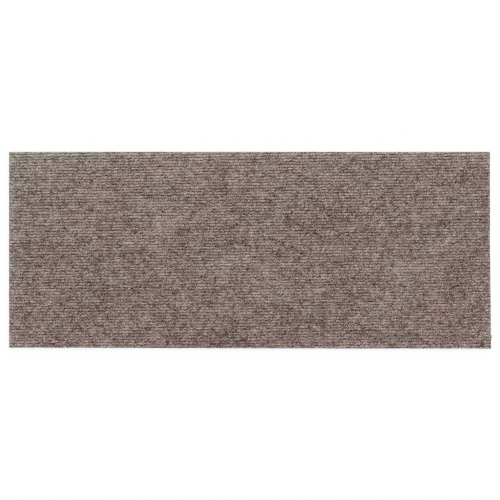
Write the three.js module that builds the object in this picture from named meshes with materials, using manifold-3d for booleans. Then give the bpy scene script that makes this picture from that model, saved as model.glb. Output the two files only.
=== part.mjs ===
import * as THREE from 'three';
import { mergeVertices } from 'three/addons/utils/BufferGeometryUtils.js';
import Module from 'manifold-3d';

// A ribbed carpet mat that lies on one stair tread. It is one sheet of needled felt, cut from a roll.
// Units are millimetres. +X runs along the mat's long edges, across the width of the stair. The ribs
// follow it to within a degree.
// +Y runs from the nosing of the tread to its riser, and +Z is up.
// The origin is in the middle of the underside.

// The sheet as it was cut
const matLength = 600;
const matDepth = 244.8;
const rightEdgeFlare = 1.5; // the front right corner stands this much further out than the back one
const flareRun = 135; // how far behind the front edge the right edge starts to swing out
const frontEdgeSlant = 1.2; // the front left corner stands this much further back than the right one
const slantRun = 420; // how far from the left end the front edge is straight again
const ribTurn = THREE.MathUtils.degToRad(0.8); // the ribs run towards the back on the right by this much

// The felt's section
const feltThickness = 3; // from the underside to the floor of a groove
const ribHeight = 1.5;
const ribPitch = 3.58;
const grooveWidth = 0.7;
const facetsPerRib = 8;

// The roll reaches past the mat by this much all round, beyond what the turned ribs need
const rollMargin = 5;
const rollHalfLength = (matLength * Math.cos(ribTurn) + matDepth * Math.sin(ribTurn)) / 2 + rollMargin;
const rollHalfDepth = (matDepth * Math.cos(ribTurn) + matLength * Math.sin(ribTurn)) / 2 + rollMargin;

const feltColour = new THREE.Color().setRGB(131 / 255, 114 / 255, 108 / 255, THREE.SRGBColorSpace);

const wasm = await Module();
wasm.setup();

function toSolid(geometry) {
  geometry.deleteAttribute('normal');
  geometry.deleteAttribute('uv');
  const merged = mergeVertices(geometry);
  const mesh = new wasm.Mesh({
    numProp: 3,
    vertProperties: new Float32Array(merged.attributes.position.array),
    triVerts: new Uint32Array(merged.index.array),
  });
  return new wasm.Manifold(mesh);
}

function toGeometry(solid) {
  const mesh = solid.getMesh();
  const geometry = new THREE.BufferGeometry();
  geometry.setAttribute('position', new THREE.BufferAttribute(mesh.vertProperties, 3));
  geometry.setIndex(new THREE.BufferAttribute(mesh.triVerts, 1));
  geometry.computeVertexNormals();
  return geometry;
}

// The roll's section across its ribs, in Y and Z. The crest of one rib runs over the middle of the mat,
// and as many ribs lie in front of it as behind it.
function ribbedSection() {
  const ribHalfWidth = (ribPitch - grooveWidth) / 2;
  const ribCount = 2 * Math.ceil(rollHalfDepth / ribPitch) + 1;
  const backOfRoll = ribCount * ribPitch / 2;
  const frontOfRoll = -backOfRoll;

  const section = new THREE.Shape();
  section.moveTo(frontOfRoll, 0);
  section.lineTo(backOfRoll, 0);
  section.lineTo(backOfRoll, feltThickness);
  for (let i = ribCount - 1; i >= 0; i -= 1) {
    const ribMiddle = frontOfRoll + (i + 0.5) * ribPitch;
    section.lineTo(ribMiddle + ribHalfWidth, feltThickness);
    section.absellipse(ribMiddle, feltThickness, ribHalfWidth, ribHeight, 0, Math.PI, false);
  }
  section.lineTo(frontOfRoll, feltThickness);
  return section;
}

// The knife didn't follow the ribs, so the roll lies turned under it.
function ribbedRoll() {
  const roll = new THREE.ExtrudeGeometry(ribbedSection(), {
    depth: 2 * rollHalfLength,
    steps: 1,
    curveSegments: facetsPerRib,
    bevelEnabled: false,
  });
  const acrossRibs = new THREE.Vector3(0, 1, 0);
  const up = new THREE.Vector3(0, 0, 1);
  const alongRibs = new THREE.Vector3(1, 0, 0);
  roll.applyMatrix4(new THREE.Matrix4().makeBasis(acrossRibs, up, alongRibs));
  roll.translate(-rollHalfLength, 0, 0);
  roll.rotateZ(ribTurn);
  return toSolid(roll);
}

// What the knife takes out of the roll. The cut isn't quite square: its right edge flares towards
// the front, and its front edge slants back towards the left.
function cutOutline() {
  const left = -matLength / 2;
  const right = matLength / 2;
  const front = -matDepth / 2;
  const back = matDepth / 2;
  const outline = new THREE.Shape();
  outline.moveTo(left, front + frontEdgeSlant);
  outline.lineTo(left + slantRun, front);
  outline.lineTo(right, front);
  outline.lineTo(right - rightEdgeFlare, front + flareRun);
  outline.lineTo(right - rightEdgeFlare, back);
  outline.lineTo(left, back);
  outline.closePath();
  return outline;
}

function knife() {
  const cut = new THREE.ExtrudeGeometry(cutOutline(), {
    depth: feltThickness + ribHeight + 2 * rollMargin,
    bevelEnabled: false,
  });
  cut.translate(0, 0, -rollMargin);
  return toSolid(cut);
}

const feltMaterial = new THREE.MeshStandardMaterial({ color: feltColour, roughness: 0.95, metalness: 0 });

const treadMat = new THREE.Mesh(toGeometry(ribbedRoll().intersect(knife())), feltMaterial);
treadMat.name = 'tread_mat';

const model = new THREE.Group();
model.add(treadMat);

export default model;
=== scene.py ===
# %% [markdown]
# A ribbed stair mat
#
# The real object is one flat sheet of needled felt. Fork needles have pulled the fibres of its
# face up into fine straight ribs, and a knife has cut the sheet to the size of one stair tread.
# The sheet is modelled first, as one closed mesh. Loops and loose fibres go over it afterwards,
# because they are what makes felt look soft.

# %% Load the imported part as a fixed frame
import math

import bmesh
import bpy
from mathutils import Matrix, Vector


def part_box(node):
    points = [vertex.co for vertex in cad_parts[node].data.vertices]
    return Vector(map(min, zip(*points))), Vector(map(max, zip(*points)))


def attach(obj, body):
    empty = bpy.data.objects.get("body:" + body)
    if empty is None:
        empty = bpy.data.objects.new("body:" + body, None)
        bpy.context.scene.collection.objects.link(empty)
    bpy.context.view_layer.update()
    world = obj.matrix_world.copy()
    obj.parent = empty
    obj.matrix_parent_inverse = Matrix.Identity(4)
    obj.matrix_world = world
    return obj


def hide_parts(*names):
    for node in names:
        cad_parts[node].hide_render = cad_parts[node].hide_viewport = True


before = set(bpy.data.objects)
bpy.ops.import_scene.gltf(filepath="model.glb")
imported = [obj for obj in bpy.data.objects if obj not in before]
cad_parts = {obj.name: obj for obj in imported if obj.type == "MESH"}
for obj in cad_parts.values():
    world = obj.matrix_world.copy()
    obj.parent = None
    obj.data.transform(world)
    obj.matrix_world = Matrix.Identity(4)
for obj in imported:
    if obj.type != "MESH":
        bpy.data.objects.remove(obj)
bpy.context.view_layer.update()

scene = bpy.context.scene
scene.view_settings.view_transform = "Standard"
scene.cycles.use_denoising = False  # the denoiser takes fibres for noise and smears them
scene.cycles.filter_width = 1.36  # pixels, for a picture as crisp as the photograph

# %% [markdown]
# Sizes
#
# The overall size is read from the frame. The section of a rib and the way the mat was cut
# repeat the part's own sizes, because the frame holds only the finished solid. Every length
# below is in metres.

# %% Sizes of the mat
MM = 0.001
low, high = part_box("tread_mat")
mat_length = high.x - low.x
mat_depth = high.y - low.y
mat_height = high.z - low.z
rib_height = 1.5 * MM
felt_thickness = mat_height - rib_height
rib_pitch = 3.58 * MM
rib_slope = math.tan(math.radians(0.8))  # the ribs run towards the back on the right
ribs_each_side = math.ceil((mat_depth + rib_slope * mat_length) / 2 / rib_pitch)
rib_count = 2 * ribs_each_side + 1
right_edge_flare = 1.5 * MM
flare_run = 135 * MM
front_edge_slant = 1.2 * MM
slant_run = 420 * MM
print(f"mat {mat_length:.4f} by {mat_depth:.4f} by {mat_height:.4f} m")

# %% [markdown]
# The camera
#
# The photograph looks straight down on the mat, from far enough away to show no perspective.
# A long lens gives the same picture. Its height follows from the share of the frame that the
# mat fills, so the render lies over the photograph.

# %% Camera at the photograph's angle
PHOTO_SIDE = 500
LENS = 100
SENSOR = 36
MAT_PIXELS = 482.2  # the mat's length in the photograph
MIDDLE_PIXEL = (250.1, 250.2)  # the mat's middle in the photograph

pixel_size = mat_length / MAT_PIXELS
camera_data = bpy.data.cameras.new("camera")
camera_data.lens = LENS
camera_data.sensor_width = SENSOR
camera = bpy.data.objects.new("camera", camera_data)
camera.location = (
    (PHOTO_SIDE / 2 - MIDDLE_PIXEL[0]) * pixel_size,
    (MIDDLE_PIXEL[1] - PHOTO_SIDE / 2) * pixel_size,
    mat_height + PHOTO_SIDE * pixel_size * LENS / SENSOR,
)
scene.collection.objects.link(camera)
scene.camera = camera
print(f"camera {camera.location.z:.3f} m above the floor, {pixel_size / MM:.3f} mm a pixel")

# %% [markdown]
# Sums in node trees
#
# A node tree that works out a height is mostly adding and multiplying. Placing a Math node for
# each step makes long code, so a small class stands for a socket and places those nodes when
# it meets +, -, * or /. The trees below then read like formulas. The same class serves the
# trees that make shapes and the trees that make colours.

# %% A socket that can be used in sums
class Field:
    """A socket in a node tree. Using it in a sum adds the Math node that does the sum."""

    def __init__(self, tree, socket):
        self.tree = tree
        self.socket = socket

    def __add__(self, other):
        return calc(self.tree, "ADD", self, other)

    def __sub__(self, other):
        return calc(self.tree, "SUBTRACT", self, other)

    def __rsub__(self, other):
        return calc(self.tree, "SUBTRACT", other, self)

    def __mul__(self, other):
        return calc(self.tree, "MULTIPLY", self, other)

    def __truediv__(self, other):
        return calc(self.tree, "DIVIDE", self, other)

    __radd__ = __add__
    __rmul__ = __mul__


def join(tree, value, socket):
    """Links a field to an input, or sets the input to a plain value."""
    if isinstance(value, Field):
        tree.links.new(value.socket, socket)
    else:
        socket.default_value = value


def add(tree, kind, values=None, **settings):
    """Adds a node, makes its settings and fills the inputs that are named."""
    made = tree.nodes.new(kind)
    for name, setting in settings.items():
        setattr(made, name, setting)
    for name, value in (values or {}).items():
        join(tree, value, next(s for s in made.inputs if s.name == name and s.enabled))
    return made


def out(tree, made, name=None):
    """An output of a node as a field: the one with this name, or else the first."""
    return Field(tree, next(s for s in made.outputs if s.enabled and name in (None, s.name)))


def calc(tree, operation, *values):
    made = tree.nodes.new("ShaderNodeMath")
    made.operation = operation
    for value, socket in zip(values, made.inputs):
        join(tree, value, socket)
    return out(tree, made)


def clamp(tree, value, lowest=0.0, highest=1.0):
    return calc(tree, "MINIMUM", calc(tree, "MAXIMUM", value, lowest), highest)


def choose(tree, test, if_not, if_so):
    return if_not + (if_so - if_not) * test


def parts_of(tree, vector):
    made = add(tree, "ShaderNodeSeparateXYZ", {"Vector": vector})
    return [out(tree, made, axis) for axis in "XYZ"]


def vector_of(tree, x, y, z):
    return out(tree, add(tree, "ShaderNodeCombineXYZ", {"X": x, "Y": y, "Z": z}))


def noise(tree, place, size, detail=0.0, output="Fac"):
    """Soft random values from 0 to 1 whose lumps are about this size."""
    made = add(tree, "ShaderNodeTexNoise", {"Vector": place, "Scale": 1 / size, "Detail": detail})
    return out(tree, made, output)


# %% A Geometry Nodes tree with named inputs
def new_tree(name, inputs, outputs):
    """Makes an empty tree. Returns it with a field for each of its inputs."""
    tree = bpy.data.node_groups.new(name, "GeometryNodeTree")
    for label, (kind, default) in inputs.items():
        item = tree.interface.new_socket(label, in_out="INPUT", socket_type=f"NodeSocket{kind}")
        if default is not None:
            item.default_value = default
    for label, kind in outputs.items():
        tree.interface.new_socket(label, in_out="OUTPUT", socket_type=f"NodeSocket{kind}")
    entry = tree.nodes.new("NodeGroupInput")
    return tree, {label: out(tree, entry, label) for label in inputs}


def give(tree, result):
    """Ends a tree with its one result."""
    join(tree, result, tree.nodes.new("NodeGroupOutput").inputs[0])


def place_of(tree):
    return parts_of(tree, out(tree, tree.nodes.new("GeometryNodeInputPosition")))


def move(tree, geometry, x, y, z, selection=True):
    made = add(
        tree,
        "GeometryNodeSetPosition",
        {"Geometry": geometry, "Selection": selection, "Position": vector_of(tree, x, y, z)},
    )
    return out(tree, made)


def note(tree, geometry, name, value, kind, domain, selection=True):
    """Writes a named value on each point, face or corner."""
    made = add(
        tree,
        "GeometryNodeStoreNamedAttribute",
        {"Geometry": geometry, "Selection": selection, "Name": name, "Value": value},
        data_type=kind,
        domain=domain,
    )
    return out(tree, made)


def noted(tree, name, kind):
    """Reads a named value back."""
    return out(tree, add(tree, "GeometryNodeInputNamedAttribute", {"Name": name}, data_type=kind))


# %% [markdown]
# The height of the felt
#
# Seen in section, each rib is a round ridge between two narrow grooves. The sheet and the
# fibres on it both need that shape, so it is one node group that turns a place on the mat into
# a height. A rib in felt isn't machined: it wanders a little, and it swells and thins as its
# fibres do. Each rib reads its own lane of noise, so that neighbours don't swell in step. The
# ribs lie nearly a degree off the mat's long edges, and they open out a little towards the
# right. So a place is first turned into its distance from the middle rib, counted in ribs.

# %% Ribs over the mat
RIB_SIZES = {
    "Rib Pitch": ("Float", rib_pitch),
    "Rib Slope": ("Float", rib_slope),
    "Rib Fan": ("Float", 0.011),  # share by which the pitch grows for each metre to the right
    "Wander": ("Float", 0.9 * MM),
    "Rib Height": ("Float", rib_height),
    "Felt Thickness": ("Float", felt_thickness),
    "Unevenness": ("Float", 0.3),
}
WANDER_LENGTH = 60 * MM


def wander(tree, given, x, y):
    return (noise(tree, vector_of(tree, x, y, 0.0), WANDER_LENGTH) - 0.5) * given["Wander"]


def ribs_from_middle(tree, given, x, y):
    straight = y - (y * given["Rib Fan"] + given["Rib Slope"]) * x
    return (straight + wander(tree, given, x, y)) / given["Rib Pitch"]


def rib_to_y(tree, given, x, ribs):
    """Where a line that lies this many ribs behind the middle one passes x."""
    straight = ribs * given["Rib Pitch"] + given["Rib Slope"] * x
    y = straight / (1 - given["Rib Fan"] * x)
    return y - wander(tree, given, x, y)


# %% Node group for the felt's height
LANE_GAP = 0.37  # metres of noise between two ribs' lanes
SWELL_LENGTH = 9 * MM
# The powers that give a rib its section: 2 and 0.5 would make it half an ellipse
RIB_SQUARENESS = 2.5
RIB_ROUNDNESS = 0.7


def make_height_group():
    tree, given = new_tree(
        "Height of the felt", {"Place": ("Vector", None), **RIB_SIZES}, {"Height": "Float"}
    )
    x, y, _ = parts_of(tree, given["Place"])
    ribs = ribs_from_middle(tree, given, x, y) + 0.5
    across = calc(tree, "ABSOLUTE", calc(tree, "FRACT", ribs) * 2 - 1)
    crown = calc(tree, "POWER", 1 - calc(tree, "POWER", across, RIB_SQUARENESS), RIB_ROUNDNESS)
    lane = vector_of(tree, x, calc(tree, "FLOOR", ribs) * LANE_GAP, 0.0)
    swell = (noise(tree, lane, SWELL_LENGTH, detail=1.0) - 0.5) * given["Unevenness"] * 2
    give(tree, given["Felt Thickness"] + given["Rib Height"] * crown * (1 + swell))
    return tree


height_group = make_height_group()


def felt_height(tree, given, x, y):
    """The height of the felt at a place, inside another tree."""
    made = tree.nodes.new("GeometryNodeGroup")
    made.node_tree = height_group
    join(tree, vector_of(tree, x, y, 0.0), made.inputs["Place"])
    for label in RIB_SIZES:
        join(tree, given[label], made.inputs[label])
    return out(tree, made)


# %% [markdown]
# The way the mat was cut
#
# The knife left the right edge flared towards the front, and the front edge slanted towards the
# left. Both are true of the real mat. The flare moves everything along the ribs a little.
# What lies past the front or back edge is drawn in to that edge, so that a rib runs out where
# the knife crossed it. Felt doesn't cut to a perfect line either, so the last few millimetres
# waver, and near the front of the right edge the knife left a small nub.

# %% Inside the cut outline
CUT_SIZES = {
    "Length": ("Float", mat_length),
    "Depth": ("Float", mat_depth),
    "Right Flare": ("Float", right_edge_flare),
    "Flare Run": ("Float", flare_run),
    "Front Slant": ("Float", front_edge_slant),
    "Slant Run": ("Float", slant_run),
    "Waver": ("Float", 0.5 * MM),
    "Nub": ("Float", 1.1 * MM),
}
WAVER_LENGTH = 9 * MM
WAVER_REACH = 3 * MM
NUB_FROM_FRONT = 14.5 * MM
NUB_HALF_WIDTH = 3 * MM


def cut_outline(tree, given, x, y, overhang=0.0):
    """Draws a place in to the mat's outline, or to this share of its distance past it."""
    half_length = given["Length"] / 2
    half_depth = given["Depth"] / 2
    inner_x = clamp(tree, x, half_length * -1, half_length)
    slanted = 1 - clamp(tree, (inner_x + half_length) / given["Slant Run"])
    inner_y = clamp(tree, y, given["Front Slant"] * slanted - half_depth, half_depth)
    unflared = clamp(tree, (inner_y + half_depth) / given["Flare Run"])
    kept = 1 - given["Right Flare"] * unflared / given["Length"]
    cut_x = (inner_x + half_length) * kept - half_length
    return cut_x + (x - inner_x) * overhang, inner_y + (y - inner_y) * overhang


def waver(tree, given, x, y):
    """Moves a place near a cut edge out or in."""
    raggedness = noise(tree, vector_of(tree, x, y, 0.0), WAVER_LENGTH, detail=1.0)
    moved = []
    for place, side in ((x, given["Length"]), (y, given["Depth"])):
        distance_in = side / 2 - calc(tree, "ABSOLUTE", place)
        reach = 1 - clamp(tree, distance_in / WAVER_REACH)
        outward = (raggedness - 0.5) * given["Waver"] * reach
        moved.append(place + outward * calc(tree, "SIGN", place))
    from_nub = (y + given["Depth"] / 2 - NUB_FROM_FRONT) / NUB_HALF_WIDTH
    at_nub = 1 - clamp(tree, from_nub * from_nub)
    at_right = 1 - clamp(tree, (given["Length"] / 2 - x) / WAVER_REACH)
    return moved[0] + given["Nub"] * at_nub * at_right, moved[1]


# %% [markdown]
# The sheet
#
# A flat grid is pulled up into ribs, its rim is drawn down to the floor, and the underside is
# filled. Its rows run along the ribs. They are gathered towards the grooves, where the
# surface turns fastest, so that six rows are enough for a rib. The grid is laid out with one
# unit of depth for each rib, and is turned into metres as its rows are placed.

# %% Node tree for the sheet
ROWS_PER_RIB = 6
COLUMNS = 230
GATHER = 0.17
RIM_COLUMN = 0.8 * MM  # the column next to each cut end is this narrow
RIM_DROP = 0.2 * MM  # felt sinks a little where it was cut
SIDE_LEDGE = 0.35  # share of the felt's thickness at which the cut side has its middle edge
TALLEST_RIB = 1.4  # no rib swells past this share of its height
# The stretch of the UV map that each side of the sheet takes, from its lowest line to its highest
FACE_BAND = (0.0, 0.86)
UNDER_BAND = (0.87, 0.93)
FRONT_BAND = (0.94, 0.95)
BACK_BAND = (0.955, 0.965)
LEFT_BAND = (0.97, 0.98)
RIGHT_BAND = (0.985, 0.995)
BAKE_MAP = "OFBake"
WELD_DISTANCE = 0.005 * MM


def weld(tree, mesh):
    made = add(tree, "GeometryNodeMergeByDistance", {"Geometry": mesh, "Distance": WELD_DISTANCE})
    return out(tree, made)


def rows_and_columns(tree, given, x, row):
    """Moves the grid's even rows and columns to where the ribs and the rim need them."""
    turn = (row + 0.5) * (2 * math.pi)
    y = rib_to_y(tree, given, x, row - calc(tree, "SINE", turn) * (GATHER / 2))
    step = (x / given["Length"] + 0.5) * given["Columns"]
    inner = (given["Length"] - 2 * RIM_COLUMN) / (given["Columns"] - 2)
    rim = (clamp(tree, step) + clamp(tree, step - given["Columns"] + 1)) * RIM_COLUMN
    middle = clamp(tree, step - 1, 0.0, given["Columns"] - 2) * inner
    return rim + middle - given["Length"] / 2, y


def ribbed_face(tree, given):
    """Lays out rows along the ribs, welds those that the cut edges stop, and pulls up the ribs."""
    grid = add(
        tree,
        "GeometryNodeMeshGrid",
        {
            "Size X": given["Length"],
            "Size Y": given["Rib Count"],
            "Vertices X": given["Columns"] + 1,
            "Vertices Y": given["Rib Count"] * ROWS_PER_RIB + 1,
        },
    )
    x, row, _ = place_of(tree)
    x, y = cut_outline(tree, given, *rows_and_columns(tree, given, x, row))
    flat = weld(tree, move(tree, out(tree, grid), x, y, 0.0))
    x, y, _ = place_of(tree)
    distance_in = given["Length"] / 2 - calc(tree, "ABSOLUTE", x)
    rim_drop = (1 - clamp(tree, distance_in / (2 * RIM_COLUMN))) * RIM_DROP
    x, y = waver(tree, given, x, y)
    return move(tree, flat, x, y, felt_height(tree, given, x, y) - rim_drop)


def cut_sides(tree, given, face):
    """Draws the rim down to the floor. Returns the body and the edges that now lie there."""
    neighbours = out(tree, tree.nodes.new("GeometryNodeInputMeshEdgeNeighbors"))
    lowest_edges = calc(tree, "LESS_THAN", neighbours, 1.5)  # an edge of the rim has one face
    body = face
    for level in (given["Felt Thickness"] * SIDE_LEDGE, 0.0):
        wall = add(
            tree,
            "GeometryNodeExtrudeMesh",
            {"Mesh": body, "Selection": lowest_edges, "Offset Scale": 0.0},
            mode="EDGES",
        )
        body = note(
            tree, out(tree, wall, "Mesh"), "wall", True, "BOOLEAN", "FACE", out(tree, wall, "Side")
        )
        lowest_edges = out(tree, wall, "Top")
        x, y, _ = place_of(tree)
        body = move(tree, body, x, y, level, lowest_edges)
    return body, lowest_edges


def underside(tree, rim):
    filled = add(tree, "GeometryNodeFillCurve", {"Curve": out(tree, rim)}, mode="NGONS")
    return note(tree, out(tree, filled), "under", True, "BOOLEAN", "FACE")


def band(share, limits):
    return share * (limits[1] - limits[0]) + limits[0]


def unfold(tree, given, sheet):
    """Gives the sheet a UV map with the ribbed face, the underside and the four sides apart."""
    x, y, z = place_of(tree)
    normal = out(tree, tree.nodes.new("GeometryNodeInputNormal"), "True Normal")
    nx, ny, _ = parts_of(tree, normal)
    along = x / given["Length"] + 0.5
    back = y / given["Depth"] + 0.5
    up = clamp(tree, z / (given["Felt Thickness"] + given["Rib Height"] * TALLEST_RIB))
    wall = noted(tree, "wall", "BOOLEAN")
    under = noted(tree, "under", "BOOLEAN")
    at_end = calc(tree, "GREATER_THAN", calc(tree, "ABSOLUTE", nx), calc(tree, "ABSOLUTE", ny))
    at_back = calc(tree, "GREATER_THAN", ny, 0.0)
    at_right = calc(tree, "GREATER_THAN", nx, 0.0)
    end = choose(tree, at_right, band(up, LEFT_BAND), band(up, RIGHT_BAND))
    edge = choose(tree, at_back, band(up, FRONT_BAND), band(up, BACK_BAND))
    flat = choose(tree, under, band(back, FACE_BAND), band(back, UNDER_BAND))
    u = choose(tree, wall * at_end, along, back)
    v = choose(tree, wall, flat, choose(tree, at_end, edge, end))
    return note(tree, sheet, BAKE_MAP, vector_of(tree, u, v, 0.0), "FLOAT2", "CORNER")


def make_sheet_tree():
    tree, given = new_tree(
        "Ribbed sheet",
        {
            **CUT_SIZES,
            **RIB_SIZES,
            "Rib Count": ("Int", rib_count),
            "Columns": ("Int", COLUMNS),
            "Felt": ("Material", None),
            "Underside": ("Material", None),
        },
        {"Geometry": "Geometry"},
    )
    body, lowest_edges = cut_sides(tree, given, ribbed_face(tree, given))
    rim = add(tree, "GeometryNodeMeshToCurve", {"Mesh": body, "Selection": lowest_edges})
    whole = tree.nodes.new("GeometryNodeJoinGeometry")
    for piece in (body, underside(tree, rim)):
        tree.links.new(piece.socket, whole.inputs[0])
    mapped = unfold(tree, given, weld(tree, out(tree, whole)))
    felt = add(tree, "GeometryNodeSetMaterial", {"Geometry": mapped, "Material": given["Felt"]})
    finished = add(
        tree,
        "GeometryNodeSetMaterial",
        {
            "Geometry": out(tree, felt),
            "Selection": noted(tree, "under", "BOOLEAN"),
            "Material": given["Underside"],
        },
    )
    give(tree, out(tree, finished))
    return tree


sheet_tree = make_sheet_tree()

# %% [markdown]
# From a tree to a mesh
#
# A tree only has a result while its modifier is on an object. The result is copied into a
# plain mesh and the modifier goes, so that the piece can ride with the frame and be exported.

# %% Run a tree and keep its mesh
def face_outwards(mesh):
    shape = bmesh.new()
    shape.from_mesh(mesh)
    bmesh.ops.recalc_face_normals(shape, faces=shape.faces)
    shape.to_mesh(mesh)
    shape.free()


def grow(name, tree, start=None, **values):
    """Runs a tree on a mesh, or on nothing, and returns an object that holds its result."""
    piece = bpy.data.objects.new(name, start or bpy.data.meshes.new(name))
    scene.collection.objects.link(piece)
    modifier = piece.modifiers.new("tree", "NODES")
    modifier.node_group = tree
    for item in tree.interface.items_tree:
        label = item.name.replace(" ", "_").lower()
        if item.in_out == "INPUT" and label in values:
            modifier[item.identifier] = values[label]
    evaluated = piece.evaluated_get(bpy.context.evaluated_depsgraph_get())
    mesh = bpy.data.meshes.new_from_object(evaluated)
    piece.modifiers.clear()
    piece.data = mesh
    mesh.name = name
    face_outwards(mesh)
    mesh.polygons.foreach_set("use_smooth", [True] * len(mesh.polygons))
    triangles = sum(len(face.vertices) - 2 for face in mesh.polygons)
    print(f"{name}: {len(mesh.vertices)} vertices, {triangles} triangles")
    return piece


# %% [markdown]
# The blend of fibres
#
# The felt is a melange: pale, taupe and umber fibres are blended before they are needled. From
# a step away they give soft patches, from a hand's width clumps and streaks, and up close single
# fibres. One noise has only one size of lump, so several are laid over each other. Most
# are stretched along the ribs, as the fibres are. The sum is a tone around 0.5, and a tone picks
# a colour from a ramp whose ends are the darkest and the palest fibre.
#
# The felt and the strands on it share these tones, or the strands would hide the blend. Both
# carry painted shade down in the grooves and painted light on the crowns, and a painted rim
# of light along the cut edges. Painted light also makes the mat a little paler towards the
# back, above all at its left end: in a band along its back edge, and most of all in a pool at
# the back left corner. The ribs' painted light and shade is strongest there, and weaker
# towards the front right.

# %% Tones of the blend
# Size of the lumps, how far they are stretched along the ribs, and how strongly they colour
LUMPS = (
    (90 * MM, 1.6, 0.14),
    (30 * MM, 1.6, 0.18),
    (12 * MM, 1.6, 0.24),
    (5.5 * MM, 1.6, 0.54),
    (2.6 * MM, 1.2, 0.3),
    (1.3 * MM, 3.0, 0.8),
    (1.15 * MM, 0.85, 2.55),
)
LAYER_GAP = 0.7  # metres of noise between one layer of lumps and the next
MIDDLE_TONE = 0.552
# Painted shade in the grooves and painted light on the crowns, in tone
GROOVE_SHADE = 0.12
CROWN_LIGHT = 0.04
# How much the ribs' painted light and shade loses, as a share of what it is in the middle of the
# mat
PAINTED_SHADE_LOSS_FRONT = 1.0  # from the back to the front
PAINTED_SHADE_LOSS_RIGHT = 0.65  # from the left to the right
# A painted rim of light along the cut edges: how far it reaches in, and its strength in tone
RIM_REACH = 12 * MM
FRONT_RIM_REACH = 6 * MM
RIM_LIGHT = 0.15
LIT_CORNER_REACH = 400 * MM  # how far the painted pool of light reaches from the back left corner along the edges
LIT_EDGE_REACH = 50 * MM  # and how far from the back edge
# Strength in tone of the painted pool of light at the back left corner, and of the painted band of
# light along the back edge
CORNER_LIGHT = 0.06
EDGE_LIGHT = 0.06
BACK_LIGHT = 0.04  # painted light, rising from the front edge to the back one, midway along the mat


def lumps(tree, x, y, z, layers):
    """How much these layers of the blend lift or lower the tone at a place."""
    tone = 0.0
    for number, (size, stretch, strength) in enumerate(layers):
        place = vector_of(tree, x / stretch, y + number * LAYER_GAP, z)
        tone = (noise(tree, place, size, detail=0.5) - 0.5) * strength + tone
    return tone


def rim_share(tree, x, y):
    """1 at the cut rim of the mat, falling to 0 a few millimetres in."""
    at_end = (mat_length / 2 - calc(tree, "ABSOLUTE", x)) / RIM_REACH
    at_back = (mat_depth / 2 - y) / RIM_REACH
    at_front = (mat_depth / 2 + y) / FRONT_RIM_REACH
    nearest = calc(tree, "MINIMUM", at_end, calc(tree, "MINIMUM", at_back, at_front))
    share = 1 - clamp(tree, nearest)
    return share * share


def corner_share(tree, x, y):
    """1 at the back left corner, under the painted pool of light, falling to 0, sooner across the
    mat than along its edges.
    """
    root_from_end = calc(tree, "SQRT", clamp(tree, mat_length / 2 + x))
    root_from_back = calc(tree, "SQRT", clamp(tree, mat_depth / 2 - y))
    distance = calc(tree, "POWER", root_from_end + root_from_back, 2.0)
    share = 1 - clamp(tree, distance / LIT_CORNER_REACH)
    return share * share


def edge_share(tree, y):
    """1 at the back edge, under the painted band of light, falling to 0."""
    share = 1 - clamp(tree, (mat_depth / 2 - y) / LIT_EDGE_REACH)
    return share * share


def tone_with_painted_light(tree, x, y, z):
    # painted light: a pool at the back left corner, a band along the back edge, a rise towards the
    # back and a rim of light
    corner_and_edge_light = corner_share(tree, x, y) * CORNER_LIGHT + edge_share(tree, y) * EDGE_LIGHT
    towards_back = y * (BACK_LIGHT / mat_depth) * (1 - x / mat_length)
    pale = rim_share(tree, x, y) * RIM_LIGHT + corner_and_edge_light + towards_back
    return lumps(tree, x, y, z, LUMPS) + pale + MIDDLE_TONE


def rib_shade(tree, x, y, z):
    """The painted light and shade of a rib: how much the height on a rib lifts or lowers the tone
    at a place.
    """
    crown = clamp(tree, (z - felt_thickness) / rib_height)
    painted_shade_strength = 1 + y * (PAINTED_SHADE_LOSS_FRONT / mat_depth) - x * (PAINTED_SHADE_LOSS_RIGHT / mat_length)
    return (crown * (GROOVE_SHADE + CROWN_LIGHT) - GROOVE_SHADE) * painted_shade_strength


# %% [markdown]
# Colours
#
# The blend isn't even over the roll. It turns a little pinker here and greyer there. It is also
# tinted greyer along with the painted light, at the back left corner, at the cut rim and towards
# the back. So a colour takes two numbers: its tone on the ramp, and how far it is tinted from warm
# to cool.

# %% Colours of the blend
def from_srgb(red, green, blue):
    """A colour as a paint chart gives it, from 0 to 255, as Blender's linear light."""
    def linear(level):
        share = level / 255
        return share / 12.92 if share <= 0.04045 else ((share + 0.055) / 1.055) ** 2.4

    return (linear(red), linear(green), linear(blue), 1.0)


FIBRE_COLOURS = (
    (0.0, from_srgb(43, 13, 4)),
    (0.25, from_srgb(93, 62, 52)),
    (0.5, from_srgb(141, 118, 110)),
    (0.75, from_srgb(177, 158, 152)),
    (1.0, from_srgb(208, 192, 186)),
)
TINTS = ((0.0, (1.05, 0.965, 0.99, 1.0)), (1.0, (0.92, 1.056, 1.0, 1.0)))
# Size of the drifts in tint, and how strong they are
DRIFTS = ((55 * MM, 0.7), (17 * MM, 0.5))
DRIFT_STRETCH = 1.4  # along the ribs
DRIFT_GAP = 7  # each drift is read this many of its own sizes away from the mat
MIDDLE_COOLNESS = 0.39
# The tint turns greyer with the painted light: at the back left corner, at the rim and towards the
# back
CORNER_COOLNESS = 0.85
RIM_COOLNESS = 0.35
BACK_COOLNESS = 0.09  # from the front edge to the back one


def coolness(tree, x, y):
    """How far the tint at a place lies from warm, 0, to cool, 1."""
    cool = corner_share(tree, x, y) * CORNER_COOLNESS + rim_share(tree, x, y) * RIM_COOLNESS
    cool = cool + y * (BACK_COOLNESS / mat_depth)
    for size, strength in DRIFTS:
        place = vector_of(tree, x / DRIFT_STRETCH, y + size * DRIFT_GAP, 0.0)
        drift = noise(tree, place, size)
        cool = (drift - 0.5) * strength + cool
    return clamp(tree, cool + MIDDLE_COOLNESS)


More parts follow.
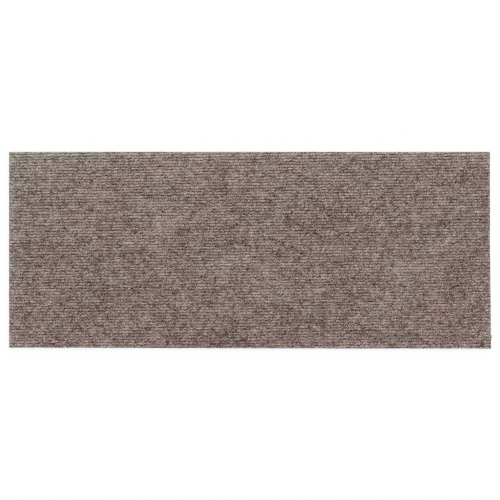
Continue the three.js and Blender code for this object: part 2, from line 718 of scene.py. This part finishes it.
def ramp(tree, place, stops):
    made = add(tree, "ShaderNodeValToRGB", {"Fac": place})
    points = made.color_ramp.elements
    while len(points) < len(stops):
        points.new(0.5)
    for point, (position, colour) in zip(points, stops):
        point.position = position
        point.color = colour
    return out(tree, made, "Color")


def blend_colour(tree, tone, cool):
    values = {"Factor": 1.0, "A": ramp(tree, tone, FIBRE_COLOURS), "B": ramp(tree, cool, TINTS)}
    made = add(tree, "ShaderNodeMix", values, data_type="RGBA", blend_type="MULTIPLY")
    return out(tree, made, "Result")


# %% [markdown]
# The finish of the face
#
# Between the clumps and the strands of real geometry lie fibres too fine to model. They are
# lines in the material: where a stretched noise passes through its middle value there is a
# thin line, and five of them, turned a few ways and bent a little, look like matted fibres.
# They tint the felt, raise it as a bump, and make the clumps' edges ragged.

# %% Fine lines of fibre
# The ways that fibres lie, in degrees from the ribs, and how far apart they are
FIBRE_WAYS = (
    (5, 0.45 * MM),
    (-14, 0.6 * MM),
    (33, 0.5 * MM),
    (-42, 0.55 * MM),
    (78, 0.6 * MM),
)
FIBRE_STRETCH = 10
FIBRE_SHARPNESS = 20
FIBRE_DEPTH = 0.25  # how much of the felt's height counts in the lines
FIBRE_BEND = 1.6 * MM
FIBRE_BEND_SIZE = 3 * MM


def fibre_lines(tree, x, y, z):
    """Fine lines that run a few ways, as the fibres at the surface do. From 0 to 1."""
    bend = noise(tree, vector_of(tree, x, y, z), FIBRE_BEND_SIZE, output="Color")
    bend_x, bend_y, _ = parts_of(tree, bend)
    x = x + bend_x * FIBRE_BEND
    y = y + bend_y * FIBRE_BEND
    lines = 0.0
    for number, (degrees, size) in enumerate(FIBRE_WAYS):
        way = math.radians(degrees)
        along = x * math.cos(way) + y * math.sin(way)
        across = y * math.cos(way) - x * math.sin(way)
        place = vector_of(tree, along / FIBRE_STRETCH, across, z * FIBRE_DEPTH + number)
        line = 1 - calc(tree, "ABSOLUTE", noise(tree, place, size) - 0.5) * FIBRE_SHARPNESS
        lines = calc(tree, "MAXIMUM", line, lines)
    return lines


# %% Material of the felt's face
FIBRE_CONTRAST = 0.25
LINES_MIDDLE = 0.6  # the lines' value that leaves the tone as it is
RAGGED = 0.9 * MM  # how far a fibre carries the edge of a clump along the ribs
RAGGED_ACROSS = 0.5  # share of that by which it carries the edge across them
CLUMP_SIZE = 1.1 * MM
CLUMP_STRETCH = 1.5
LINES_IN_BUMP = 0.3  # the height of a fibre beside that of a clump


def new_material(name):
    """A material with only its output and one Principled shader, whose inputs it returns."""
    material = bpy.data.materials.new(name)
    material.use_nodes = True
    tree = material.node_tree
    shader = next(n for n in tree.nodes if n.type == "BSDF_PRINCIPLED")
    return material, tree, shader.inputs


def object_place(tree):
    made = tree.nodes.new("ShaderNodeTexCoord")
    return parts_of(tree, Field(tree, made.outputs["Object"]))


def fray(x, y, lines):
    """Carries a place along with the fibres, which gives a clump of colour a ragged edge."""
    ragged = (lines - 0.5) * RAGGED
    return x + ragged, y + ragged * RAGGED_ACROSS


def raise_bump(tree, inputs, height, strength, distance):
    values = {"Height": height, "Strength": strength, "Distance": distance}
    join(tree, out(tree, add(tree, "ShaderNodeBump", values)), inputs["Normal"])


def make_felt():
    material, tree, inputs = new_material("ribbed felt")
    x, y, z = object_place(tree)
    lines = fibre_lines(tree, x, y, z)
    # the tone holds the blend with its painted light, the fine lines, and the ribs' painted light
    # and shade
    tone = (
        tone_with_painted_light(tree, *fray(x, y, lines), z)
        + (lines - LINES_MIDDLE) * FIBRE_CONTRAST
        + rib_shade(tree, x, y, z)
    )
    join(tree, blend_colour(tree, tone, coolness(tree, x, y)), inputs["Base Color"])
    inputs["Roughness"].default_value = 0.95
    inputs["Specular IOR Level"].default_value = 0.25
    inputs["Sheen Weight"].default_value = 0.08
    inputs["Sheen Roughness"].default_value = 0.5
    clumps = noise(tree, vector_of(tree, x / CLUMP_STRETCH, y, z), CLUMP_SIZE, detail=1.0)
    raise_bump(tree, inputs, lines * LINES_IN_BUMP + clumps, strength=0.8, distance=0.4 * MM)
    return material


felt = make_felt()

# %% [markdown]
# The underside
#
# The photograph doesn't show the underside, so it is finished plainly, as the flat back of the
# same felt. Needling presses the back smooth and mats its fibres, so it has the blend's patches
# and fine lines but no ribs, and less contrast than the face.

# %% Material of the underside
UNDER_TONE = 0.5
UNDER_CONTRAST = 0.5
GRAIN_SIZE = 0.9 * MM
LINES_IN_GRAIN = 0.4  # the height of a fibre beside that of a grain


def make_underside():
    material, tree, inputs = new_material("flat back of the felt")
    x, y, z = object_place(tree)
    lines = fibre_lines(tree, x, y, z)
    tone = (
        lumps(tree, *fray(x, y, lines), z, LUMPS) * UNDER_CONTRAST
        + (lines - LINES_MIDDLE) * FIBRE_CONTRAST
        + UNDER_TONE
    )
    join(tree, blend_colour(tree, tone, coolness(tree, x, y)), inputs["Base Color"])
    inputs["Roughness"].default_value = 0.95
    inputs["Specular IOR Level"].default_value = 0.25
    grain = noise(tree, vector_of(tree, x, y, z), GRAIN_SIZE, detail=3.0)
    raise_bump(tree, inputs, lines * LINES_IN_GRAIN + grain, strength=0.5, distance=0.2 * MM)
    return material


felt_back = make_underside()

# %% Make the sheet
CREASE_ANGLE = math.radians(80)  # grooves and cut edges turn more sharply than this

sheet = grow("ribbed_sheet", sheet_tree, felt=felt, underside=felt_back)
sheet.data.set_sharp_from_angle(angle=CREASE_ANGLE)
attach(sheet, "root")
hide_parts("tread_mat")

# %% [markdown]
# Loops and loose fibres
#
# The fork needles carry small loops of fibre over each rib, from groove to groove, and other
# fibres lie loose along the ribs. Both are strands: short curves laid on the felt with their
# ends pushed into it. One tree makes them all. It sets out a row of strands on each rib,
# jitters and turns them, lays them on the felt's height and gives each a thin
# three-sided tube, which is plenty for something thinner than a tenth of the rib.
#
# A strand's colour is two numbers, as the felt's is: its tone, and how cool its tint is. Its UV
# map holds the tone across and the coolness upwards, so all strands share one small
# painted chart.

# %% Sizes of the strands
STRAND_SIZES = {
    "First Rib": ("Int", -ribs_each_side),
    "Ribs": ("Int", rib_count),
    "Strands A Rib": ("Int", 100),
    "Strand Length": ("Float", 3 * MM),
    "Strand Width": ("Float", 0.2 * MM),
    "Heading": ("Float", 0.0),
    "Heading Spread": ("Float", 0.4),
    "Scatter": ("Float", 0.5 * MM),
    "Lift": ("Float", 0.3 * MM),
    "Curl": ("Float", 0.5 * MM),
    "Seed": ("Int", 1),
}
STRAND_POINTS = 5
STRAND_JITTER = 0.6  # how far a strand may stray in its row, as a share of the gap between two
SHORTEST, LONGEST = 0.7, 1.3  # shares of the strands' length
STRAND_BURY = 0.12 * MM  # how deep a strand's ends go into the felt
STRAND_TAPER = 0.45  # a strand's ends are this much thinner than its middle
OVERHANG = 0.3  # share of a strand past a cut edge that the knife left sticking out
TONE_SPREAD = 0.34  # how far a strand's tone may be from the felt's under it
ROOT_SHADE = 0.14  # painted shade: a strand is this much darker where it goes into the felt
CHART_WIDTH = 0.02  # how much of the chart one strand takes
CHART_MARGIN = 0.01
CURL_SIZE = 2.5 * MM


# %% Set the strands out in rows
def chance(tree, given, number, lowest=-1.0, highest=1.0):
    """A random value for each strand, by a fixed seed. Each draw has its own number."""
    made = add(
        tree,
        "FunctionNodeRandomValue",
        {"Min": lowest, "Max": highest, "Seed": given["Seed"] * 10 + number},
        data_type="FLOAT",
    )
    return out(tree, made)


def set_out_strands(tree, given):
    """Puts a point where each strand goes, and notes the felt's tone and coolness there."""
    span = given["Length"] - given["Strand Length"]
    rows = add(
        tree,
        "GeometryNodeMeshGrid",
        {
            "Size X": span,
            "Size Y": given["Ribs"] - 1,
            "Vertices X": given["Strands A Rib"],
            "Vertices Y": given["Ribs"],
        },
    )
    x, rib, _ = place_of(tree)
    rib = rib + given["First Rib"] + (given["Ribs"] - 1) / 2
    x = x + span / given["Strands A Rib"] * chance(tree, given, 1, -STRAND_JITTER, STRAND_JITTER)
    y = rib_to_y(tree, given, x, rib) + given["Scatter"] * chance(tree, given, 2)
    starts = move(tree, out(tree, rows), x, y, 0.0)
    x, y, _ = place_of(tree)
    outside = calc(tree, "GREATER_THAN", calc(tree, "ABSOLUTE", y), given["Depth"] / 2)
    kept = add(tree, "GeometryNodeDeleteGeometry", {"Geometry": starts, "Selection": outside})
    # the felt's tone here includes its painted light
    tone = tone_with_painted_light(tree, x, y, 0.0) + chance(tree, given, 3) * TONE_SPREAD
    toned = note(tree, out(tree, kept), "tone", tone, "FLOAT", "POINT")
    return note(tree, toned, "cool", coolness(tree, x, y), "FLOAT", "POINT")


def straight_strands(tree, given, starts):
    """Puts a straight line on each point, turned and stretched as its strand is."""
    line = add(tree, "GeometryNodeCurvePrimitiveLine", {"Start": (-0.5, 0, 0), "End": (0.5, 0, 0)})
    strand = add(
        tree, "GeometryNodeResampleCurve", {"Curve": out(tree, line), "Count": STRAND_POINTS}
    )
    turn = given["Heading Spread"] * chance(tree, given, 4)
    heading = given["Heading"] + given["Rib Slope"] + turn
    length = given["Strand Length"] * chance(tree, given, 5, SHORTEST, LONGEST)
    laid = add(
        tree,
        "GeometryNodeInstanceOnPoints",
        {
            "Points": starts,
            "Instance": out(tree, strand),
            "Rotation": vector_of(tree, 0.0, 0.0, heading),
            "Scale": vector_of(tree, length, 1.0, 1.0),
        },
    )
    return out(tree, add(tree, "GeometryNodeRealizeInstances", {"Geometry": out(tree, laid)}))


# %% Lay the rows on the felt and give them thickness
def lay_on_felt(tree, given, strands, arch):
    """Curls the strands, trims them at the cut edges and arches them over the felt."""
    x, y, _ = place_of(tree)
    own_place = vector_of(tree, x, y, noted(tree, "tone", "FLOAT"))
    curl_x, curl_y, _ = parts_of(tree, noise(tree, own_place, CURL_SIZE, output="Color"))
    x = x + (curl_x - 0.5) * given["Curl"]
    y = y + (curl_y - 0.5) * given["Curl"]
    x, y = waver(tree, given, *cut_outline(tree, given, x, y, OVERHANG))
    z = felt_height(tree, given, x, y) + arch * (given["Lift"] + STRAND_BURY) - STRAND_BURY
    return move(tree, strands, x, y, z)


def shade(tree, strands, along):
    """Paints the ribs' painted light and shade onto the strands, and painted shade at their ends.
    """
    x, y, z = place_of(tree)
    ends = calc(tree, "POWER", calc(tree, "ABSOLUTE", along * 2 - 1), 3.0)
    shaded = noted(tree, "tone", "FLOAT") + rib_shade(tree, x, y, z) - ends * ROOT_SHADE
    return note(tree, strands, "tone", shaded, "FLOAT", "POINT")


def thicken(tree, given, strands, arch):
    """Gives the strands thin three-sided tubes that taper towards their ends."""
    ring = add(
        tree,
        "GeometryNodeCurvePrimitiveCircle",
        {"Resolution": 3, "Radius": given["Strand Width"] / 2},
    )
    around = out(tree, tree.nodes.new("GeometryNodeSplineParameter"), "Factor")
    tubes = add(
        tree,
        "GeometryNodeCurveToMesh",
        {
            "Curve": strands,
            "Profile Curve": note(tree, out(tree, ring), "around", around, "FLOAT", "POINT"),
            "Scale": 1 - STRAND_TAPER + arch * STRAND_TAPER,
            "Fill Caps": True,
        },
    )
    return out(tree, tubes)


def place_on_chart(tree, tubes, along):
    """Writes the tubes' UV map, from their tone and their coolness."""
    highest = 1 - CHART_MARGIN - CHART_WIDTH
    tone = clamp(tree, noted(tree, "tone", "FLOAT"), CHART_MARGIN, highest)
    cool = clamp(tree, noted(tree, "cool", "FLOAT"), CHART_MARGIN, highest)
    around = noted(tree, "around", "FLOAT")
    chart = vector_of(tree, tone + along * CHART_WIDTH, cool + around * CHART_WIDTH, 0.0)
    return note(tree, tubes, BAKE_MAP, chart, "FLOAT2", "CORNER")


# %% Node tree for strands
def make_strand_tree():
    tree, given = new_tree(
        "Strands on the ribs",
        {**CUT_SIZES, **RIB_SIZES, **STRAND_SIZES, "Fibre": ("Material", None)},
        {"Geometry": "Geometry"},
    )
    strands = straight_strands(tree, given, set_out_strands(tree, given))
    run = out(tree, tree.nodes.new("GeometryNodeSplineParameter"), "Factor")
    strands = note(tree, strands, "along", run, "FLOAT", "POINT")
    along = noted(tree, "along", "FLOAT")
    arch = along * (1 - along) * 4  # 0 at a strand's ends and 1 in its middle
    strands = shade(tree, lay_on_felt(tree, given, strands, arch), along)
    tubes = place_on_chart(tree, thicken(tree, given, strands, arch), along)
    painted = add(tree, "GeometryNodeSetMaterial", {"Geometry": tubes, "Material": given["Fibre"]})
    give(tree, out(tree, painted))
    return tree


strand_tree = make_strand_tree()

# %% Material of the strands
def make_fibre():
    material, tree, inputs = new_material("melange fibre")
    chart = add(tree, "ShaderNodeUVMap", uv_map=BAKE_MAP)
    tone, cool, _ = parts_of(tree, out(tree, chart))
    join(tree, blend_colour(tree, tone, cool), inputs["Base Color"])
    inputs["Roughness"].default_value = 0.8
    inputs["Specular IOR Level"].default_value = 0.3
    inputs["Sheen Weight"].default_value = 0.08
    return material


fibre = make_fibre()

# %% [markdown]
# Each kind of strand is made in two pieces, one for the front half of the mat and one for the
# back, because the loops of one half already come to nearly 200,000 triangles.

# %% Lay the strands
# The first rib of each half, counted from the middle one, and how many ribs the half has
HALVES = {"front": (-ribs_each_side, ribs_each_side), "back": (0, ribs_each_side + 1)}
STRAND_KINDS = {
    "rib_loops": dict(
        strands_a_rib=220,
        strand_length=3.2 * MM,
        strand_width=0.15 * MM,
        heading=math.radians(90),
        heading_spread=math.radians(60),
        scatter=0.5 * MM,
        lift=0.22 * MM,
        curl=1.2 * MM,
    ),
    "loose_fibres": dict(
        strands_a_rib=170,
        strand_length=7.5 * MM,
        strand_width=0.13 * MM,
        heading=0.0,
        heading_spread=math.radians(38),
        scatter=1.8 * MM,
        lift=0.25 * MM,
        curl=2.0 * MM,
    ),
}

strands = []
for number, (kind, sizes) in enumerate(STRAND_KINDS.items()):
    for half, (first, count) in HALVES.items():
        piece = grow(
            f"{kind}_{half}",
            strand_tree,
            first_rib=first,
            ribs=count,
            seed=10 * number + len(strands) + 1,
            fibre=fibre,
            **sizes,
        )
        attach(piece, "root")
        strands.append(piece)

# %% [markdown]
# Floor and light
#
# The mat lies on a plain pale floor. A white sky gives most of the light, and a wide soft lamp
# from the back right gives the ribs their shape. Together they light a level surface so
# that it renders about as its colour is written. The camera sees the floor as white, with
# most of its white as its own light, so that the mat's shadow stays as faint as in the
# photograph.

# %% Floor, sky and lamp
FLOOR_SIZE = 8.0
FLOOR_GAP = 0.05 * MM
FLOOR_GREY = 0.75
FLOOR_GLOW = 0.8  # share of the floor's white that doesn't depend on the light
SKY = 0.72
LAMP_SHARE = 0.28  # of the light on a level surface
LAMP_TILT = math.radians(40)
LAMP_TURN = math.radians(145)
LAMP_SPREAD = math.radians(35)


def make_floor():
    mesh = bpy.data.meshes.new("floor")
    half = FLOOR_SIZE / 2
    corners = [(-half, -half), (half, -half), (half, half), (-half, half)]
    mesh.from_pydata([(x, y, -FLOOR_GAP) for x, y in corners], [], [(0, 1, 2, 3)])
    floor = bpy.data.objects.new("floor", mesh)
    scene.collection.objects.link(floor)
    material, tree, inputs = new_material("pale floor")
    seen = out(tree, tree.nodes.new("ShaderNodeLightPath"), "Is Camera Ray")
    grey = choose(tree, seen, FLOOR_GREY, 1 - FLOOR_GLOW)
    join(tree, vector_of(tree, grey, grey, grey), inputs["Base Color"])
    inputs["Emission Color"].default_value = (1, 1, 1, 1)
    join(tree, seen * FLOOR_GLOW, inputs["Emission Strength"])
    inputs["Roughness"].default_value = 1.0
    inputs["Specular IOR Level"].default_value = 0.0
    mesh.materials.append(material)
    return floor


def make_sky():
    world = bpy.data.worlds.new("sky")
    world.use_nodes = True
    tree = world.node_tree
    background = tree.nodes["Background"]
    seen = out(tree, tree.nodes.new("ShaderNodeLightPath"), "Is Camera Ray")
    background.inputs["Color"].default_value = (1, 1, 1, 1)
    join(tree, seen * (1 - SKY) + SKY, background.inputs["Strength"])
    scene.world = world


def make_lamp():
    data = bpy.data.lights.new("lamp", "SUN")
    data.energy = LAMP_SHARE * math.pi / math.cos(LAMP_TILT)
    data.angle = LAMP_SPREAD
    lamp = bpy.data.objects.new("lamp", data)
    lamp.rotation_euler = (LAMP_TILT, 0.0, LAMP_TURN)
    scene.collection.objects.link(lamp)


floor = make_floor()
make_sky()
make_lamp()
